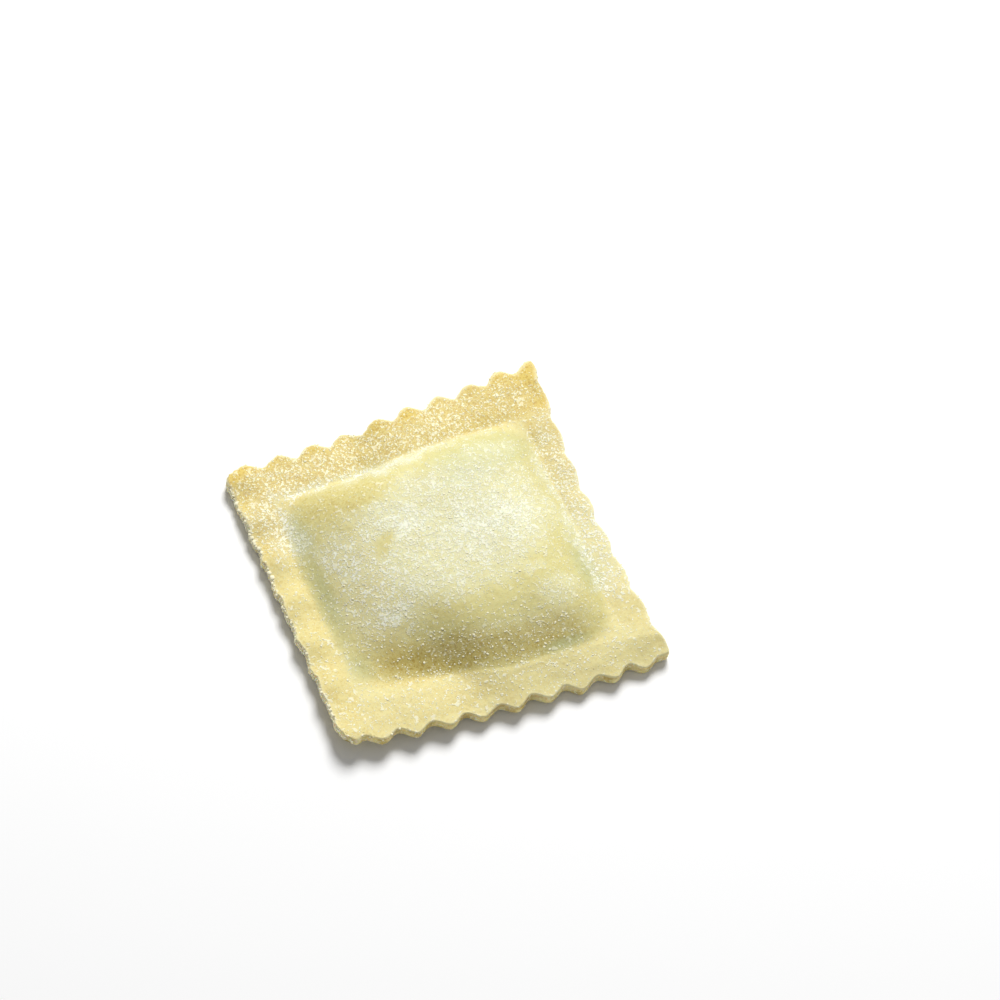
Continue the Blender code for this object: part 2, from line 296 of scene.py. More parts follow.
def edge_roughness(points):
    """Small tears and crumbs along the cut, strongest on the left side."""
    x, y = points[:, 0], points[:, 1]
    u, v = square_coordinates(x, y)
    left = smoothstep((-u - 0.80) / 0.15)
    back = smoothstep((v - 0.80) / 0.15)
    right = smoothstep((u - 0.80) / 0.15)
    size = 0.040 + 0.20 * left + 0.08 * back + 0.05 * right
    fine = 0.018 + 0.060 * left + 0.030 * back + 0.020 * right
    return size * fractal(x, y, 1.5, 301, 3, 0.6) + fine * fractal(x, y, 0.55, 317, 2, 0.6)


def edge_at(side, t, offset):
    """Point of a side at share t of its length, moved outwards by offset."""
    place = (side * PER_SIDE + t * PER_SIDE) % (4 * PER_SIDE)
    i = np.floor(place).astype(int)
    f = (place - i)[:, None]
    j = (i + 1) % (4 * PER_SIDE)
    i = i % (4 * PER_SIDE)
    p = EDGE[i] * (1 - f) + EDGE[j] * f
    n = EDGE_NORMAL[i] * (1 - f) + EDGE_NORMAL[j] * f
    return p + (offset + edge_roughness(p))[:, None] * n


def coons(share, offset):
    """Grid of points inside the cut edge; share runs 0..1 along both directions."""
    zero = np.zeros(len(share))
    back = edge_at(0, share, zero + offset)                 # left to right
    right = edge_at(1, 1.0 - share, zero + offset)          # front to back
    front = edge_at(2, 1.0 - share, zero + offset)          # left to right
    left = edge_at(3, share, zero + offset)                 # front to back
    a = share[:, None, None]                                # left to right
    b = share[None, :, None]                                # front to back
    side_to_side = (1 - b) * front[:, None, :] + b * back[:, None, :]
    end_to_end = (1 - a) * left[None, :, :] + a * right[None, :, :]
    flat = (
        (1 - a) * (1 - b) * front[0]
        + a * (1 - b) * front[-1]
        + (1 - a) * b * back[0]
        + a * b * back[-1]
    )
    grid = side_to_side + end_to_end - flat
    grid[:, 0], grid[:, -1], grid[0, :], grid[-1, :] = front, back, left, right
    return grid


def seen(x, y, z):
    """Place in the level of the skirt that the slanting view puts a raised point at."""
    return x + 0.317 * (z - 3.25), y + 0.483 * (z - 3.25)


def rim_distance(x, y):
    """Rough distance inwards from the straight sides of the cut square."""
    d = []
    for i in range(4):
        ax, ay = CORNERS[i]
        bx, by = CORNERS[(i + 1) % 4]
        length = math.hypot(bx - ax, by - ay)
        d.append(((bx - ax) * (ay - y) - (by - ay) * (ax - x)) / length)
    return np.min(np.stack(d), axis=0)


def relief(x, y):
    """Fine unevenness of the upper face, mm."""
    u, v = square_coordinates(x, y)
    inward = foot_distance(x, y)
    skirt = smoothstep(-inward / 2.5)
    z = 0.030 * fractal(x, y, 1.1, 11, 3, 0.65)
    z = z + 0.060 * fractal(x, y, 3.4, 23, 2, 0.5)
    # rolling and handling leave shallow dents on the skirt
    z = z + 0.10 * skirt * fractal(x, y, 7.0, 31, 2, 0.5)
    # the left side of the skirt buckles between the flutes
    left = smoothstep((-u - 0.76) / 0.16)
    z = z + 0.20 * left * np.sin(2.0 * math.pi * (y - 1.0) / 8.8 + 1.2)
    # pressed edge of the seal along the right and the back side
    back, right, front, left_d = foot_distances(x, y)
    groove_r = np.exp(-(((right - 0.2 + 0.25 * np.sin(y / 3.0)) / 0.35) ** 2)) * smoothstep((y + 8.0) / 3.0) * smoothstep((12.0 - y) / 4.0)
    groove_b = np.exp(-(((back - 0.1 + 0.2 * np.sin(x / 2.7)) / 0.40) ** 2)) * smoothstep((x + 16.0) / 6.0) * smoothstep((6.0 - x) / 5.0)
    z = z - 0.16 * groove_r - 0.10 * groove_b
    return z


def upper_side(x, y):
    return smooth_upper_side(x, y) + relief(x, y)


CELLS = 236
_near = np.array([0.0, 0.10, 0.24, 0.44, 0.66]) / 61.0
_even = np.linspace(0.92 / 61.0, 1.0 - 0.92 / 61.0, CELLS + 1 - 2 * len(_near))
SHARE = np.concatenate([_near, _even, 1.0 - _near[::-1]])

# Rings of the cut face from the top down: (how far out, height down from the
# top as a share of the thickness). The two sheets meet in a shallow seam.
CUT_FACE = ((-0.07, 0.155), (0.00, 0.27), (0.03, 0.38), (-0.06, 0.48), (-0.01, 0.57), (0.02, 0.73), (-0.05, 0.89))
RIM_DROP = (0.20, 0.11, 0.04, 0.01)


def build_dough():
    n = CELLS + 1
    grid = coons(SHARE, -0.16)
    x, y = grid[..., 0], grid[..., 1]
    top = upper_side(x, y)
    # the knife rounds the upper edge a little
    ring = np.minimum(np.minimum(np.arange(n), n - 1 - np.arange(n))[:, None], np.minimum(np.arange(n), n - 1 - np.arange(n))[None, :])
    for k, drop in enumerate(RIM_DROP):
        top = np.where(ring == k, top - drop, top)
    inside = np.interp(ring, np.arange(len(_near) + 1), np.append(_near * 61.0, 0.92)) + np.maximum(ring - len(_near), 0) * 0.26
    top = top + 0.055 * np.exp(-((inside / 0.55) ** 2)) * fractal(x, y, 0.8, 331, 2, 0.6)

    share_low = SHARE[::2]
    low_grid = coons(share_low, -0.16)
    lx, ly = low_grid[..., 0], low_grid[..., 1]
    m = len(share_low)
    low = underside(lx, ly)
    ring_low = np.minimum(np.minimum(np.arange(m), m - 1 - np.arange(m))[:, None], np.minimum(np.arange(m), m - 1 - np.arange(m))[None, :])
    low = np.where(ring_low == 0, low + 0.12, low)
    rest = smoothstep((foot_distance(lx, ly) - UNDER_REACH) / 2.0)
    low = low + (1.0 - rest) * np.maximum(0.05 * fractal(lx, ly, 2.2, 71, 3, 0.6) + 0.02, 0.0)

    verts = [np.stack([x, y, top], axis=-1).reshape(-1, 3)]
    kind = [np.zeros(n * n)]
    count = n * n
    index_top = np.arange(n * n).reshape(n, n)
    # the rim's indices, clockwise from the back left, as the outline runs
    loop_top = np.concatenate([
        index_top[:-1, -1], index_top[-1, :0:-1], index_top[:0:-1, 0], index_top[0, :-1]
    ])
    loop_xy = np.stack([x, y], axis=-1).reshape(-1, 2)[loop_top]
    loop_z = top.reshape(-1)[loop_top]
    # outward normals round the rim
    share_loop = np.concatenate([SHARE[:-1], 1.0 + SHARE[:-1], 2.0 + SHARE[:-1], 3.0 + SHARE[:-1]])
    place = share_loop * PER_SIDE
    i = np.floor(place).astype(int) % (4 * PER_SIDE)
    normal = EDGE_NORMAL[i]
    base = underside(loop_xy[:, 0], loop_xy[:, 1])
    height = loop_z + RIM_DROP[0] - base
    rings = []
    for k, (out, down) in enumerate(CUT_FACE):
        around = np.arange(len(loop_top)) * 0.25
        crumbly = 0.05 + 0.05 * smoothstep((-square_coordinates(loop_xy[:, 0], loop_xy[:, 1])[0] - 0.8) / 0.15)
        wander = crumbly * fractal(around, np.full(len(around), 0.9 * k), 0.9, 91, 3, 0.6)
        seam = 0.06 * noise(around, np.zeros(len(around)), 5.0, 97)
        o = 0.16 + out + wander
        p = loop_xy + o[:, None] * normal
        z = base + height * (1.0 - down - seam * math.sin(math.pi * down))
        rings.append(np.arange(count, count + len(loop_top)))
        verts.append(np.column_stack([p, z]))
        kind.append(np.full(len(loop_top), 1.0))
        count += len(loop_top)
    low_start = count
    verts.append(np.stack([lx, ly, low], axis=-1).reshape(-1, 3))
    kind.append(np.full(m * m, 2.0))
    index_low = low_start + np.arange(m * m).reshape(m, m)
    loop_low = np.concatenate([
        index_low[:-1, -1], index_low[-1, :0:-1], index_low[:0:-1, 0], index_low[0, :-1]
    ])
    verts = np.concatenate(verts)
    kind = np.concatenate(kind)

    faces = []
    a, b = index_top[:-1, :-1], index_top[1:, :-1]
    c, d = index_top[1:, 1:], index_top[:-1, 1:]
    faces.append(np.stack([a, b, c, d], axis=-1).reshape(-1, 4))
    a, b = index_low[:-1, :-1], index_low[1:, :-1]
    c, d = index_low[1:, 1:], index_low[:-1, 1:]
    faces.append(np.stack([d, c, b, a], axis=-1).reshape(-1, 4))
    loops = [loop_top] + rings
    for upper, lower in zip(loops, loops[1:]):
        faces.append(np.stack([upper, np.roll(upper, -1), np.roll(lower, -1), lower], axis=-1))
    quads = np.concatenate(faces)
    last = rings[-1]
    o0, o1, o2 = last[0::2], last[1::2], np.roll(last, -2)[0::2]
    i0, i1 = loop_low, np.roll(loop_low, -1)
    tris = np.concatenate([
        np.stack([o0, o1, i0], axis=-1), np.stack([o1, i1, i0], axis=-1), np.stack([o1, o2, i1], axis=-1)
    ])
    face_kind = np.concatenate([
        np.zeros((n - 1) ** 2), np.full((m - 1) ** 2, 2.0), np.full(len(quads) - (n - 1) ** 2 - (m - 1) ** 2, 1.0), np.full(len(tris), 2.0)
    ])
    inward = np.concatenate([inside.reshape(-1), np.zeros(len(verts) - n * n)])
    return verts, quads, tris, kind, face_kind, index_top, index_low, loops, inward


def mesh_from(name, verts, groups):
    """Mesh with the given vertices (mm, design frame) and faces (arrays of equal-length rows)."""
    mesh = bpy.data.meshes.new(name)
    mesh.vertices.add(len(verts))
    placed = np.array(verts, dtype=float)
    placed[:, 0] -= MIDDLE[0]
    placed[:, 1] -= MIDDLE[1]
    mesh.vertices.foreach_set("co", (placed * MM).astype(np.float32).ravel())
    corners = np.concatenate([g.ravel() for g in groups]).astype(np.int32)
    sizes = np.concatenate([np.full(len(g), g.shape[1]) for g in groups]).astype(np.int32)
    starts = np.concatenate([[0], np.cumsum(sizes)[:-1]]).astype(np.int32)
    mesh.loops.add(len(corners))
    mesh.loops.foreach_set("vertex_index", corners)
    mesh.polygons.add(len(sizes))
    mesh.polygons.foreach_set("loop_start", starts)
    mesh.polygons.foreach_set("loop_total", sizes)
    mesh.update(calc_edges=True)
    mesh.validate()
    mesh.shade_smooth()
    return mesh


def add_attribute(mesh, name, values):
    layer = mesh.attributes.new(name, "FLOAT", "POINT")
    layer.data.foreach_set("value", np.asarray(values, dtype=np.float32))


def flour_density(x, y, z):
    """How thickly flour covers a point of the upper face, 0 to 1."""
    X, Y = seen(x, y, z)
    P = X + 1.3 * fractal(X, Y, 5.0, 201, 3, 0.6)
    Q = Y + 1.3 * fractal(X, Y, 5.0, 211, 3, 0.6)
    inward = foot_distance(x, y)
    pillow_part = smoothstep((inward - 0.3) / 1.5)
    d = 0.16 + 0.0 * X
    # the cloud on the pillow, with its thicker places
    cloud = 0.60 * blob(P, Q, 2.0, 4.8, 20.5, 13.5, 8.0, 0.35)
    cloud = np.maximum(cloud, 0.80 * blob(P, Q, -4.0, 9.0, 6.5, 4.0, 10.0, 0.7))
    cloud = np.maximum(cloud, 0.80 * blob(P, Q, 10.0, 3.5, 12.0, 8.0, 0.0, 0.7))
    cloud = np.maximum(cloud, 0.62 * blob(P, Q, 6.0, 11.0, 12.0, 5.0, 0.0, 0.6))
    cloud = np.maximum(cloud, 0.40 * blob(P, Q, 14.0, 17.0, 9.0, 3.5, 0.0, 0.6))
    cloud = np.maximum(cloud, 0.62 * blob(P, Q, -17.5, 5.0, 4.5, 6.5, 0.0, 0.6))
    cloud = np.maximum(cloud, 0.50 * blob(P, Q, -14.0, -4.5, 9.0, 8.0, 0.0, 0.6))
    cloud = cloud * (1.0 - 0.80 * blob(P, Q, -9.2, 6.4, 2.6, 1.4, 25.0, 0.6))
    cloud = cloud * (1.0 - 0.92 * blob(P, Q, -13.5, 17.2, 8.5, 3.0, 0.0, 0.4))
    cloud = np.maximum(cloud, 0.88 * blob(P, Q, -13.2, -7.3, 3.4, 2.8, 30.0, 0.7))
    cloud = np.maximum(cloud, 0.48 * blob(P, Q, -1.0, -7.2, 3.4, 2.2, 0.0, 0.6))
    cloud = np.maximum(cloud, 0.50 * blob(P, Q, 13.5, -7.0, 2.0, 1.4, 0.0, 0.6))
    d = np.maximum(d, cloud * (0.35 + 0.65 * pillow_part))
    # the skirt: thick at the back and along the back half of the left side
    d = np.maximum(d, 0.55 * blob(P, Q, -8.0, 25.0, 27.0, 5.5, 0.0, 0.30) * (1.0 - 0.30 * smoothstep((Y - 26.5) / 2.5)))
    d = np.maximum(d, 0.46 * blob(P, Q, 16.0, 26.5, 15.0, 5.5, 0.0, 0.35))
    d = np.maximum(d, 0.74 * line(X, Q, -22.0, 20.9, 6.0, 21.3, 1.0))
    d = np.maximum(d, 0.74 * blob(P, Q, -24.8, 13.5, 3.2, 6.0, 10.0, 0.8))
    d = np.maximum(d, 0.58 * blob(P, Q, -27.8, 16.5, 4.0, 9.0, 0.0, 0.5))
    d = np.maximum(d, 0.57 * blob(P, Q, 27.0, 7.0, 4.0, 20.0, 0.0, 0.5))
    d = np.maximum(d, 0.58 * line(P, Q, 24.0, 12.0, 24.6, -8.0, 2.2))
    d = np.maximum(d, 0.66 * line(P, Q, 24.0, -5.0, 24.2, -15.0, 2.4))
    d = np.maximum(d, 0.26 * blob(P, Q, -14.0, -25.0, 16.0, 4.5, 0.0, 0.5))
    d = np.maximum(d, 0.26 * blob(P, Q, 6.0, -18.0, 22.0, 4.0, -4.0, 0.5))
    d = np.maximum(d, 0.42 * blob(P, Q, 16.5, -13.0, 5.0, 4.0, 0.0, 0.6))
    d = np.maximum(d, 0.55 * blob(P, Q, 26.0, -12.0, 3.0, 6.5, 0.0, 0.6))
    d = np.maximum(d, 0.20 * blob(P, Q, 14.0, -28.0, 14.0, 3.5, 0.0, 0.5))
    return np.clip(d, 0.0, 1.0)


def green_tint(x, y, z):
    """Where the greenish filling shows through thin dough."""
    X, Y = seen(x, y, z)
    d = 0.60 * blob(X, Y, -23.0, 12.0, 1.6, 4.0, 0.0, 0.9)
    d = np.maximum(d, 0.65 * blob(X, Y, -23.2, 0.0, 1.5, 7.5, 0.0, 0.8))
    d = np.maximum(d, 0.7 * blob(X, Y, 23.0, -11.0, 1.8, 5.0, 0.0, 0.8))
    d = np.maximum(d, 0.8 * blob(X, Y, 13.0, -23.4, 4.0, 1.2, 0.0, 0.8))
    d = np.maximum(d, 0.5 * blob(X, Y, -23.0, -16.0, 2.0, 2.5, 0.0, 0.8))
    d = np.maximum(d, 0.45 * blob(X, Y, 14.0, 17.0, 10.0, 4.0, 0.0, 0.6))
    return d


def goldenness_and_flank_shade(x, y, z):
    """Share of the gold-yellow tone: 1 on the back of the skirt, less on its paler front and sides. On the pillow's
    front flank and back-left corner it is painted shade, which turns the pillow colour olive.
    """
    X, Y = seen(x, y, z)
    inward = foot_distance(x, y)
    skirt = 1.0 - smoothstep((inward + 0.2) / 1.2)
    g = 0.05 + 0.0 * X
    g = np.maximum(g, smoothstep((Y - 20.5) / 3.0))
    g = np.maximum(g, 0.60 * smoothstep((X - 23.5) / 1.5) * smoothstep((Y + 4.0) / 14.0))
    g = np.maximum(g, 0.75 * smoothstep((-X - 24.5) / 1.5) * smoothstep((Y - 2.0) / 14.0))
    g = np.maximum(g, 0.20 * blob(X, Y, -16.0, -26.0, 16.0, 4.0, 0.0, 0.5))
    g = np.maximum(g, 0.27 * smoothstep((-X - 24.5) / 1.5))
    # painted shade: the pillow's front flank and back-left corner, which lie in shade, get a share that turns them
    # olive
    painted_flank_shade = np.maximum(blob(X, Y, -8.0, -18.5, 13.0, 3.6, -5.0, 0.6), 0.7 * blob(X, Y, 6.0, -20.5, 12.0, 3.4, -5.0, 0.6))
    painted_flank_shade = np.maximum(painted_flank_shade, 0.40 * blob(X, Y, -14.0, 17.5, 9.0, 3.5, 0.0, 0.5))
    return np.maximum(skirt * g, 0.85 * painted_flank_shade)


def skirtness(x, y, z):
    """0 on the pillow, 1 on the skirt."""
    X, Y = seen(x, y, z)
    thick = 0.60 * blob(X, Y, -16.5, -1.0, 7.0, 15.0, 0.0, 0.6)
    return np.maximum(1.0 - smoothstep((foot_distance(x, y) + 0.4) / 1.6), thick)


def build_uv(mesh, index_top, index_low, loops, face_kind, uses):
    """A map for baking: the top large, the underside small, the cut face as a strip."""
    n = index_top.shape[0]
    m = index_low.shape[0]
    layer = mesh.uv_layers.new(name="OFBake")
    total = len(mesh.loops)
    vertex = np.empty(total, dtype=np.int32)
    mesh.loops.foreach_get("vertex_index", vertex)
    co = np.empty(len(mesh.vertices) * 3, dtype=np.float32)
    mesh.vertices.foreach_get("co", co)
    co = co.reshape(-1, 3) / MM
    uv = np.zeros((total, 2))
    # plain view from above and from below
    top_uv = np.column_stack([(co[:, 0] + 32.5) / 65.0 * 0.80 + 0.005, (co[:, 1] + 33.5) / 67.0 * 0.80 + 0.195])
    low_uv = np.column_stack([(co[:, 0] + 32.5) / 65.0 * 0.18 + 0.812, (co[:, 1] + 33.5) / 67.0 * 0.18 + 0.60])
    starts = np.empty(len(mesh.polygons), dtype=np.int32)
    sizes = np.empty(len(mesh.polygons), dtype=np.int32)
    mesh.polygons.foreach_get("loop_start", starts)
    mesh.polygons.foreach_get("loop_total", sizes)
    kind_of_loop = np.repeat(face_kind, sizes)
    uv = np.where((kind_of_loop == 0)[:, None], top_uv[vertex], uv)
    uv = np.where((kind_of_loop == 2)[:, None], low_uv[vertex], uv)
    # the strip: four sides one above another
    ring = len(loops[0])
    level = np.full(len(mesh.vertices), -1.0)
    along = np.zeros(len(mesh.vertices))
    for k, loop in enumerate(loops):
        level[loop] = k
        along[loop] = np.arange(ring)
    side_faces = np.where(face_kind == 1)[0]
    first = starts[side_faces]
    idx = first[:, None] + np.arange(4)[None, :]
    v = vertex[idx]
    a = along[v]
    wrap = (a.max(axis=1) - a.min(axis=1)) > ring / 2
    a = np.where(wrap[:, None] & (a < ring / 2), a + ring, a)
    side = np.minimum((a.min(axis=1) // (ring // 4)).astype(int), 3)
    u = 0.005 + (a - side[:, None] * (ring // 4)) / (ring // 4) * 0.80
    w = 0.150 - 0.047 * side[:, None] + 0.036 * (1.0 - level[v] / (len(loops) - 1))
    uv[idx, 0] = u
    uv[idx, 1] = w
    layer.data.foreach_set("uv", uv.astype(np.float32).ravel())


# ------------------------------------------------------------------ materials
class Nodes:
    """Short ways to write a node material."""

    def __init__(self, name):
        self.material = bpy.data.materials.new(name)
        self.material.use_nodes = True
        self.tree = self.material.node_tree
        self.tree.nodes.clear()
        self.output = self.tree.nodes.new("ShaderNodeOutputMaterial")
        self.shader = self.tree.nodes.new("ShaderNodeBsdfPrincipled")
        self.tree.links.new(self.shader.outputs["BSDF"], self.output.inputs["Surface"])
        place = self.tree.nodes.new("ShaderNodeTexCoord")
        scale = self.tree.nodes.new("ShaderNodeVectorMath")
        scale.operation = "SCALE"
        scale.inputs["Scale"].default_value = 1000.0
        self.tree.links.new(place.outputs["Object"], scale.inputs[0])
        self.mm = scale.outputs["Vector"]

    def put(self, socket, value):
        if hasattr(value, "is_linked") or isinstance(value, bpy.types.NodeSocket):
            self.tree.links.new(value, socket)
        else:
            socket.default_value = value

    def attribute(self, name):
        node = self.tree.nodes.new("ShaderNodeAttribute")
        node.attribute_name = name
        return node.outputs["Fac"]

    def noise(self, cell, detail=3.0, rough=0.5, shift=0.0, vector=None, distortion=0.0):
        node = self.tree.nodes.new("ShaderNodeTexNoise")
        node.noise_dimensions = "4D"
        self.put(node.inputs["Vector"], vector or self.mm)
        node.inputs["W"].default_value = shift
        node.inputs["Scale"].default_value = 1.0 / cell
        node.inputs["Detail"].default_value = detail
        node.inputs["Roughness"].default_value = rough
        node.inputs["Distortion"].default_value = distortion
        return node.outputs["Fac"]

    def dots(self, cell, shift=0.0):
        node = self.tree.nodes.new("ShaderNodeTexVoronoi")
        node.voronoi_dimensions = "3D"
        node.feature = "F1"
        move = self.tree.nodes.new("ShaderNodeVectorMath")
        move.operation = "ADD"
        self.tree.links.new(self.mm, move.inputs[0])
        move.inputs[1].default_value = (shift, shift * 1.7, shift * 0.6)
        self.tree.links.new(move.outputs["Vector"], node.inputs["Vector"])
        node.inputs["Scale"].default_value = 1.0 / cell
        node.inputs["Randomness"].default_value = 1.0
        split = self.tree.nodes.new("ShaderNodeSeparateColor")
        self.tree.links.new(node.outputs["Color"], split.inputs[0])
        return node.outputs["Distance"], split.outputs[0], split.outputs[1]

    def math(self, operation, a, b=0.0, c=None, clamp=False):
        node = self.tree.nodes.new("ShaderNodeMath")
        node.operation = operation
        node.use_clamp = clamp
        self.put(node.inputs[0], a)
        self.put(node.inputs[1], b)
        if c is not None:
            self.put(node.inputs[2], c)
        return node.outputs[0]

    def ramp(self, value, low, high, out_low=0.0, out_high=1.0, smooth=True):
        node = self.tree.nodes.new("ShaderNodeMapRange")
        node.interpolation_type = "SMOOTHSTEP" if smooth else "LINEAR"
        node.clamp = True
        self.put(node.inputs["Value"], value)
        self.put(node.inputs["From Min"], low)
        self.put(node.inputs["From Max"], high)
        node.inputs["To Min"].default_value = out_low
        node.inputs["To Max"].default_value = out_high
        return node.outputs["Result"]

    def mix(self, share, a, b):
        node = self.tree.nodes.new("ShaderNodeMix")
        node.data_type = "RGBA"
        self.put(node.inputs["Factor"], share)
        self.put(node.inputs[6], a)
        self.put(node.inputs[7], b)
        return node.outputs[2]

    def multiply(self, share, a, b):
        node = self.tree.nodes.new("ShaderNodeMix")
        node.data_type = "RGBA"
        node.blend_type = "MULTIPLY"
        self.put(node.inputs["Factor"], share)
        self.put(node.inputs[6], a)
        self.put(node.inputs[7], b)
        return node.outputs[2]

    def bump(self, height, distance, strength=1.0, normal=None):
        node = self.tree.nodes.new("ShaderNodeBump")
        node.inputs["Strength"].default_value = strength
        node.inputs["Distance"].default_value = distance
        self.put(node.inputs["Height"], height)
        if normal is not None:
            self.put(node.inputs["Normal"], normal)
        return node.outputs["Normal"]


def colour(r, g, b):
    """sRGB bytes to linear."""
    def one(c):
        c = c / 255.0
        return c / 12.92 if c <= 0.04045 else ((c + 0.055) / 1.055) ** 2.4
    return (one(r), one(g), one(b), 1.0)


GOLDEN = colour(221, 196, 100)
SKIRT = colour(228, 218, 158)
PALE = colour(217, 209, 145)
GREENISH = colour(176, 184, 138)
CUT = colour(232, 218, 150)
CUT_DARK = colour(196, 174, 92)
# pale flour on the cut's upper edge, with a painted highlight
RIM_FLOUR_AND_HIGHLIGHT = colour(253, 249, 214)
FILM = colour(240, 243, 216)
WHITE_FLOUR = colour(247, 248, 232)
CREAM_FLOUR = colour(255, 249, 212)
# painted shade: the darker olive for the pillow's shaded flanks
OLIVE_PAINTED_SHADE = colour(199, 182, 104)
BRAN = colour(146, 106, 54)


def dough_material():
    n = Nodes("egg_dough_floured")
    golden_and_painted_shade = n.attribute("golden_and_painted_shade")
    skirt = n.attribute("skirt")
    green = n.attribute("green")
    flour = n.attribute("flour")
    cut = n.attribute("cut")
    rim = n.attribute("rim")

    broad = n.noise(8.0, 2.0, 0.5, 1.3)
    mottle = n.noise(1.9, 3.0, 0.55, 4.1)
    fine = n.noise(0.6, 2.0, 0.55, 7.7)
    speck = n.noise(0.42, 1.5, 0.5, 3.3, distortion=0.5)
    coarse = n.noise(0.85, 1.0, 0.5, 8.8, distortion=0.6)

    # on the pillow the olive colour is painted shade on its front flank and back-left corner
    base = n.mix(skirt, n.mix(golden_and_painted_shade, PALE, OLIVE_PAINTED_SHADE), n.mix(golden_and_painted_shade, SKIRT, GOLDEN))
    base = n.mix(n.math("MULTIPLY", green, 0.70), base, GREENISH)
    # the cut face is raw dough, darker and uneven
    cutcolour = n.mix(n.ramp(mottle, 0.38, 0.62), CUT, CUT_DARK)
    base = n.mix(cut, base, cutcolour)
    # soft broad changes of tone, and the small pits between the flour
    base = n.multiply(n.ramp(broad, 0.50, 0.72, 0.0, 0.30), base, colour(240, 230, 205))
    base = n.multiply(n.ramp(mottle, 0.50, 0.74, 0.0, 0.22), base, colour(238, 226, 192))
    pits = n.math("MULTIPLY_ADD", golden_and_painted_shade, 0.66, 0.22)
    pits = n.math("MULTIPLY", pits, n.ramp(speck, 0.34, 0.50, 1.0, 0.0))
    base = n.multiply(pits, base, colour(224, 205, 150))
    distance, pick, size = n.dots(2.8, 3.0)
    bran = n.math("MULTIPLY", n.ramp(distance, 0.03, 0.07, 1.0, 0.0), n.ramp(pick, 0.87, 0.88))
    base = n.mix(n.math("MULTIPLY", bran, 0.75), base, BRAN)

    # flour: a cloudy film where it is thick, and flecks everywhere
    cloud = n.noise(3.0, 5.0, 0.62, 2.2, distortion=0.8)
    swirl = n.noise(1.0, 3.0, 0.6, 6.4, distortion=1.0)
    uneven = n.math("MULTIPLY_ADD", cloud, 1.5, -0.75)
    uneven = n.math("MULTIPLY_ADD", swirl, 1.1, n.math("ADD", uneven, -0.55))
    uneven = n.math("MULTIPLY", uneven, n.math("MULTIPLY_ADD", skirt, -0.55, 1.0))
    depth = n.math("MULTIPLY_ADD", uneven, flour, flour, clamp=True)
    film = n.ramp(depth, 0.18, 0.95, 0.0, 0.72, smooth=False)
    film = n.math("MULTIPLY", film, n.math("MULTIPLY_ADD", skirt, -0.45, 1.0))
    base = n.mix(film, base, FILM)
    limit = n.math("MULTIPLY_ADD", depth, -0.235, 0.675)
    flecks = n.ramp(speck, limit, n.math("ADD", limit, 0.045))
    limit = n.math("MULTIPLY_ADD", depth, -0.10, 0.625)
    flecks = n.math("MAXIMUM", flecks, n.ramp(coarse, limit, n.math("ADD", limit, 0.09), 0.0, 0.62))
    fleck_colour = n.mix(golden_and_painted_shade, WHITE_FLOUR, CREAM_FLOUR)
    base = n.mix(n.math("MULTIPLY", flecks, n.math("MULTIPLY_ADD", skirt, 0.33, 0.62)), base, fleck_colour)

    # the upper edge of the cut is pale with flour, and a painted highlight along it stands for light catching that edge
    lip_flour_and_highlight = n.math("MULTIPLY", rim, n.ramp(swirl, 0.35, 0.60, 0.55, 1.0))
    base = n.mix(n.math("MULTIPLY", lip_flour_and_highlight, 0.62), base, RIM_FLOUR_AND_HIGHLIGHT)

    n.put(n.shader.inputs["Base Color"], base)
    rough = n.math("MULTIPLY_ADD", film, 0.22, 0.58)
    rough = n.math("MULTIPLY_ADD", flecks, 0.15, rough)
    rough = n.math("MULTIPLY_ADD", fine, 0.10, rough, clamp=True)
    n.put(n.shader.inputs["Roughness"], rough)
    n.shader.inputs["Specular IOR Level"].default_value = 0.35
    n.put(n.shader.inputs["Subsurface Weight"], n.math("MULTIPLY_ADD", cut, 0.60, 0.12))
    n.shader.inputs["Subsurface Radius"].default_value = (1.0, 0.80, 0.38)
    n.shader.inputs["Subsurface Scale"].default_value = 0.0016

    height = n.math("MULTIPLY_ADD", fine, 0.4, n.math("MULTIPLY", mottle, 0.5))
    normal = n.bump(height, 0.00014, 1.0)
    normal = n.bump(flecks, 0.00007, 1.0, normal)
    n.put(n.shader.inputs["Normal"], normal)
    return n.material


def grain_material(name, tone, roughness):
    n = Nodes(name)
    n.shader.inputs["Roughness"].default_value = roughness
    n.shader.inputs["Specular IOR Level"].default_value = 0.3
    uneven = n.noise(0.35, 2.0, 0.5, 5.1)
    n.put(n.shader.inputs["Base Color"], n.mix(uneven, tone, colour(240, 232, 190)))
    lean = n.tree.nodes.new("ShaderNodeAttribute")
    lean.attribute_name = "lean"
    n.put(n.shader.inputs["Normal"], n.bump(uneven, 0.00003, 1.0, lean.outputs["Vector"]))
    return n.material


# ------------------------------------------------------------------ grains
def icosahedron():
    t = (1.0 + math.sqrt(5.0)) / 2.0
    v = np.array([
        (-1, t, 0), (1, t, 0), (-1, -t, 0), (1, -t, 0), (0, -1, t), (0, 1, t),
        (0, -1, -t), (0, 1, -t), (t, 0, -1), (t, 0, 1), (-t, 0, -1), (-t, 0, 1),
    ], dtype=float) / math.hypot(1.0, t)
    f = np.array([
        (0, 11, 5), (0, 5, 1), (0, 1, 7), (0, 7, 10), (0, 10, 11), (1, 5, 9), (5, 11, 4), (11, 10, 2),
        (10, 7, 6), (7, 1, 8), (3, 9, 4), (3, 4, 2), (3, 2, 6), (3, 6, 8), (3, 8, 9), (4, 9, 5),
        (2, 4, 11), (6, 2, 10), (8, 6, 7), (9, 8, 1),
    ])
    return v, f


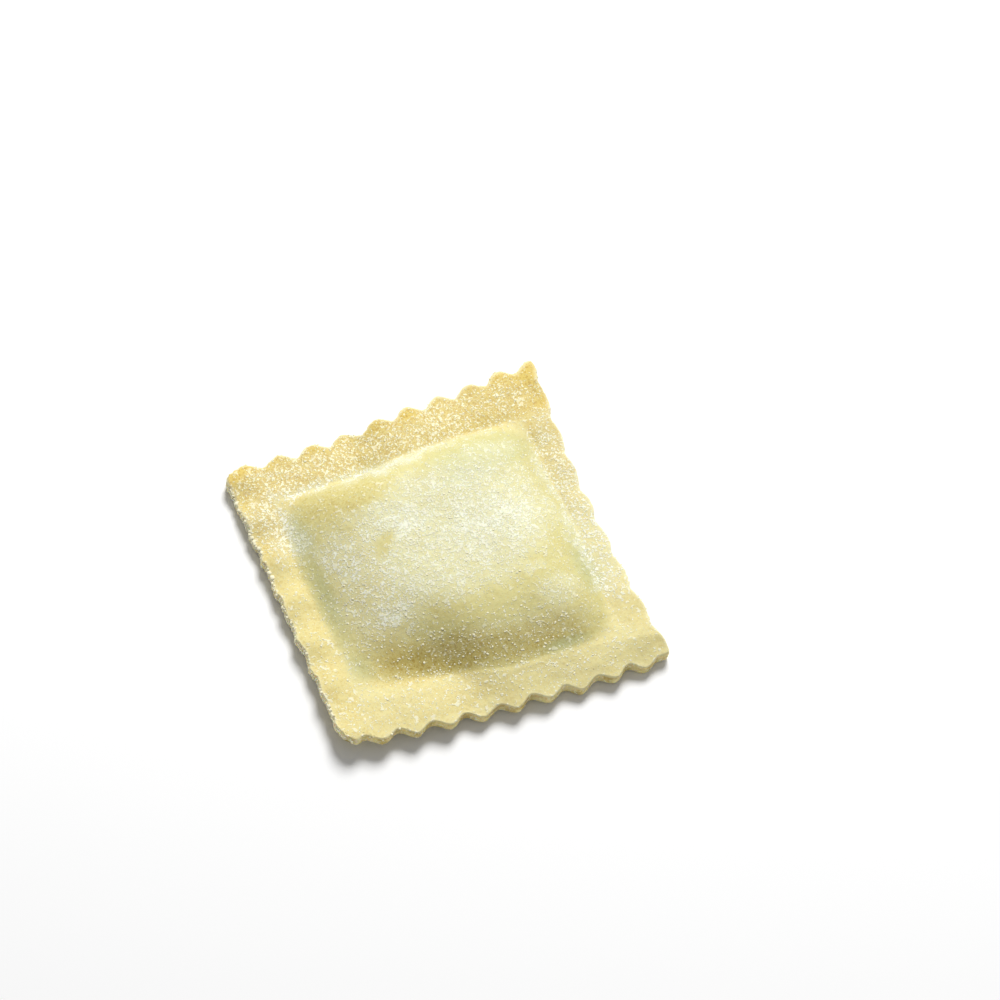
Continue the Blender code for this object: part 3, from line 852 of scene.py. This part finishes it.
def random_turns(rng, count):
    q = rng.normal(size=(count, 4))
    q /= np.linalg.norm(q, axis=1)[:, None]
    w, x, y, z = q.T
    return np.stack([
        np.stack([1 - 2 * (y * y + z * z), 2 * (x * y - z * w), 2 * (x * z + y * w)], -1),
        np.stack([2 * (x * y + z * w), 1 - 2 * (x * x + z * z), 2 * (y * z - x * w)], -1),
        np.stack([2 * (x * z - y * w), 2 * (y * z + x * w), 1 - 2 * (x * x + y * y)], -1),
    ], axis=1)


def grains(name, centres, normals, sizes, flat, proud, level, rng):
    """Small uneven lumps pressed flat along the surface under them; proud ones face
    up, and level ones are shaded as one flat flake and not as a rounded lump."""
    v, f = icosahedron()
    count = len(centres)
    turn = random_turns(rng, count)
    lump = v[None] * (1.0 + 0.22 * rng.normal(size=(count, 12, 1)).clip(-1.5, 1.5))
    lump = lump * rng.uniform(0.7, 1.3, size=(count, 1, 3))
    lump = np.einsum("nij,nkj->nki", turn, lump)
    along = np.einsum("nkj,nj->nk", lump, normals)
    rounded = lump + (1.0 / flat - 1.0) * along[..., None] * normals[:, None, :]
    rounded /= np.linalg.norm(rounded, axis=2)[..., None]
    lump = lump - (1.0 - flat) * along[..., None] * normals[:, None, :]
    verts = centres[:, None, :] + 0.5 * sizes[:, None, None] * lump
    faces = f[None] + 12 * np.arange(count)[:, None, None]
    mesh = mesh_from(name, verts.reshape(-1, 3), [faces.reshape(-1, 3)])
    lean = mesh.attributes.new("lean", "FLOAT_VECTOR", "POINT")
    faced = (1.0 - proud) * normals + proud * np.array([0.0, 0.0, 1.0])
    faced /= np.linalg.norm(faced, axis=1)[:, None]
    faced = level * faced[:, None, :] + (1.0 - level) * rounded
    faced /= np.linalg.norm(faced, axis=2)[..., None]
    lean.data.foreach_set("vector", faced.astype(np.float32).ravel())
    return mesh


def surface_at(x, y):
    """Point and unit normal of the upper face."""
    e = 0.15
    z = upper_side(x, y)
    zx = (upper_side(x + e, y) - upper_side(x - e, y)) / (2 * e)
    zy = (upper_side(x, y + e) - upper_side(x, y - e)) / (2 * e)
    n = np.stack([-zx, -zy, np.ones_like(z)], axis=-1)
    n /= np.linalg.norm(n, axis=-1)[:, None]
    return np.stack([x, y, z], axis=-1), n


def inside_edge(x, y, gap):
    """True where a point is inside the cut edge by about gap."""
    ring = EDGE[::8]
    centre = ring.mean(axis=0)
    angle = np.arctan2(ring[:, 1] - centre[1], ring[:, 0] - centre[0])
    radius = np.hypot(ring[:, 1] - centre[1], ring[:, 0] - centre[0])
    order = np.argsort(angle)
    here = np.arctan2(y - centre[1], x - centre[0])
    limit = np.interp(here, angle[order], radius[order], period=2 * math.pi)
    return np.hypot(x - centre[0], y - centre[1]) < limit - gap


def scatter(rng, tries, weight):
    x = rng.uniform(-34.0, 34.0, tries)
    y = rng.uniform(-34.0, 34.0, tries)
    keep = inside_edge(x, y, 0.35)
    x, y = x[keep], y[keep]
    z = smooth_upper_side(x, y)
    keep = rng.uniform(size=len(x)) < weight(x, y, z)
    return x[keep], y[keep]


def link(name, mesh, material):
    o = bpy.data.objects.new(name, mesh)
    bpy.context.scene.collection.objects.link(o)
    mesh.materials.append(material)
    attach(o, "root")
    return o


# ------------------------------------------------------------------ build it
verts, quads, tris, kind, face_kind, index_top, index_low, loops, inward = build_dough()
dough_mesh = mesh_from("raviolo_dough", verts, [quads, tris])
face_kind = np.concatenate([
    np.zeros((len(SHARE) - 1) ** 2),
    np.full((index_low.shape[0] - 1) ** 2, 2.0),
    np.full(len(quads) - (len(SHARE) - 1) ** 2 - (index_low.shape[0] - 1) ** 2, 1.0),
    np.full(len(tris), 2.0),
])
X, Y, Z = verts.T
top_side = kind == 0
cut_value = np.where(kind == 1, 1.0, 0.0)
add_attribute(dough_mesh, "cut", cut_value)
add_attribute(dough_mesh, "flour", np.where(top_side, flour_density(X, Y, Z), np.where(kind == 1, 0.14 + 0.42 * smoothstep((-square_coordinates(X, Y)[0] - 0.90) / 0.05), 0.22 + 0.2 * fractal(X, Y, 9.0, 401, 2))))
add_attribute(dough_mesh, "green", np.where(top_side, green_tint(X, Y, Z), 0.0))
# this share also carries the painted shade of the pillow's flanks
add_attribute(dough_mesh, "golden_and_painted_shade", np.where(top_side, goldenness_and_flank_shade(X, Y, Z), 0.30))
add_attribute(dough_mesh, "skirt", np.where(top_side, skirtness(X, Y, Z), 1.0))
# the pale upper edge, flour with a painted highlight, is weaker along the front side, which faces away from the key
# light
lip_flour_and_highlight = 1.0 - 0.45 * smoothstep((-square_coordinates(X, Y)[1] - 0.80) / 0.12)
add_attribute(dough_mesh, "rim", np.where(top_side, lip_flour_and_highlight * np.exp(-((inward / 0.75) ** 2)), np.where(kind == 1, 0.35 * lip_flour_and_highlight, 0.0)))
build_uv(dough_mesh, index_top, index_low, loops, face_kind, None)
dough = link("raviolo_dough", dough_mesh, dough_material())
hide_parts("raviolo")

rng = np.random.default_rng(20)
gx, gy = scatter(rng, 40000, lambda x, y, z: np.clip(flour_density(x, y, z) * (0.5 + 1.0 * np.clip(fractal(x, y, 2.4, 501, 3, 0.6), -0.5, 1.0)), 0.0, 1.0) ** 1.3 * 0.6)
gx, gy = gx[:4500], gy[:4500]
p, nrm = surface_at(gx, gy)
size = 0.14 + 0.20 * rng.beta(1.6, 3.2, len(gx))
flour = link("flour_grains", grains("flour_grains", p, nrm, size, 0.12, 0.4, 0.6, rng), grain_material("wheat_flour", colour(252, 250, 234), 0.9))
print("flour grains", len(gx))


def coarse_weight(x, y, z):
    X, Y = seen(x, y, z)
    w = 0.035 + 0.16 * flour_density(x, y, z)
    w = np.maximum(w, 0.48 * blob(X, Y, -2.0, -18.5, 17.0, 5.0, -5.0, 0.5))
    w = np.maximum(w, 0.20 * blob(X, Y, 4.0, -25.0, 18.0, 4.0, -5.0, 0.5))
    w = np.maximum(w, 0.24 * blob(X, Y, -20.0, -8.0, 6.0, 8.0, 0.0, 0.5))
    return w


gx, gy = scatter(rng, 14000, coarse_weight)
gx, gy = gx[:2600], gy[:2600]
p, nrm = surface_at(gx, gy)
size = 0.24 + 0.40 * rng.beta(1.3, 5.0, len(gx))
p = p + 0.01 * size[:, None] * nrm
semolina = link("semolina_grains", grains("semolina_grains", p, nrm, size, 0.24, 0.6, 0.5, rng), grain_material("semolina", colour(250, 247, 224), 0.8))
print("semolina grains", len(gx))

# crumbs of dough that cling to the torn cut, most of them on the left side
where = np.concatenate([
    3.0 + rng.choice([0.37, 0.44, 0.49, 0.57, 0.68, 0.74, 0.83], 80) + rng.normal(0.0, 0.024, 80),
    rng.uniform(3.03, 3.97, 60),
    rng.uniform(0.03, 0.97, 26),
    rng.uniform(1.05, 1.95, 12),
    rng.uniform(2.80, 2.99, 8),
])
side = np.floor(where).astype(int)
edge = np.concatenate([edge_at(k, where[side == k] - k, np.zeros((side == k).sum())) for k in range(4)])
side = np.sort(side)
turned = np.concatenate([EDGE_NORMAL[(where[np.floor(where).astype(int) == k] * PER_SIDE).astype(int)] for k in range(4)])
size = 0.34 + 0.95 * rng.beta(1.2, 3.0, len(edge))
size = np.where(side == 3, size, 0.60 * size)
share = np.where(side == 3, 1.0 - 0.55 * rng.beta(1.0, 2.2, len(edge)), rng.uniform(0.85, 1.0, len(edge)))
base = underside(edge[:, 0], edge[:, 1])
top = smooth_upper_side(edge[:, 0], edge[:, 1])
centre = np.column_stack([edge - (0.20 * size)[:, None] * turned, base + share * (top - base) - 0.16 * size * (share > 0.9)])
crumb_normal = np.column_stack([0.3 * turned, np.full(len(edge), 0.95)])
crumbs = link("dough_crumbs", grains("dough_crumbs", centre, crumb_normal / np.linalg.norm(crumb_normal, axis=1)[:, None], size, 0.50, 0.3, 0.1, rng), grain_material("floured_crumb", colour(252, 248, 222), 0.85))
print("crumbs", len(edge))

# ------------------------------------------------------------------ stage
floor_mesh = bpy.data.meshes.new("floor")
floor_mesh.from_pydata([(-3, -3, 0), (3, -3, 0), (3, 3, 0), (-3, 3, 0)], [], [(0, 1, 2, 3)])
floor = bpy.data.objects.new("floor", floor_mesh)
bpy.context.scene.collection.objects.link(floor)
floor.location.z = -0.00002
fm = Nodes("floor_white")
fm.shader.inputs["Base Color"].default_value = (0.97, 0.97, 0.97, 1.0)
fm.shader.inputs["Roughness"].default_value = 0.9
fm.shader.inputs["Specular IOR Level"].default_value = 0.1
floor_mesh.materials.append(fm.material)

scene = bpy.context.scene
world = bpy.data.worlds.new("studio")
scene.world = world
world.use_nodes = True
world.node_tree.nodes["Background"].inputs["Color"].default_value = (1.0, 1.0, 1.0, 1.0)
world.node_tree.nodes["Background"].inputs["Strength"].default_value = 0.29
scene.view_settings.view_transform = "Standard"


def softbox(name, direction, distance, size, power):
    light = bpy.data.lights.new(name, "AREA")
    light.shape = "DISK"
    light.size = size
    light.energy = power
    o = bpy.data.objects.new(name, light)
    scene.collection.objects.link(o)
    v = Vector(direction).normalized()
    o.location = v * distance
    o.rotation_euler = (-v).to_track_quat("-Z", "Y").to_euler()


softbox("key", (0.42, 0.68, 0.95), 0.9, 0.40, 9.0)

# ------------------------------------------------------------------ camera
FOCAL = 500.0 / math.tan(math.radians(11.0))
azimuth, elevation, roll = math.radians(-33.734), math.radians(59.819), math.radians(12.141)
target = Vector(((14.214 - MIDDLE[0]) * MM, (8.067 - MIDDLE[1]) * MM, 1.75 * MM))
forward = Vector((-math.sin(azimuth) * math.cos(elevation), math.cos(azimuth) * math.cos(elevation), -math.sin(elevation)))
right = Vector((math.cos(azimuth), math.sin(azimuth), 0.0))
up = right.cross(forward)
right_rolled = right * math.cos(roll) + up * math.sin(roll)
up_rolled = -right * math.sin(roll) + up * math.cos(roll)
place = target - forward * 0.472129
camera = bpy.data.cameras.new("camera")
camera_object = bpy.data.objects.new("camera", camera)
scene.collection.objects.link(camera_object)
camera_object.matrix_world = Matrix((
    (right_rolled.x, up_rolled.x, -forward.x, place.x),
    (right_rolled.y, up_rolled.y, -forward.y, place.y),
    (right_rolled.z, up_rolled.z, -forward.z, place.z),
    (0.0, 0.0, 0.0, 1.0),
))
camera.sensor_width = 36.0
camera.lens = FOCAL / 1000.0 * 36.0
camera.clip_start = 0.01
scene.camera = camera_object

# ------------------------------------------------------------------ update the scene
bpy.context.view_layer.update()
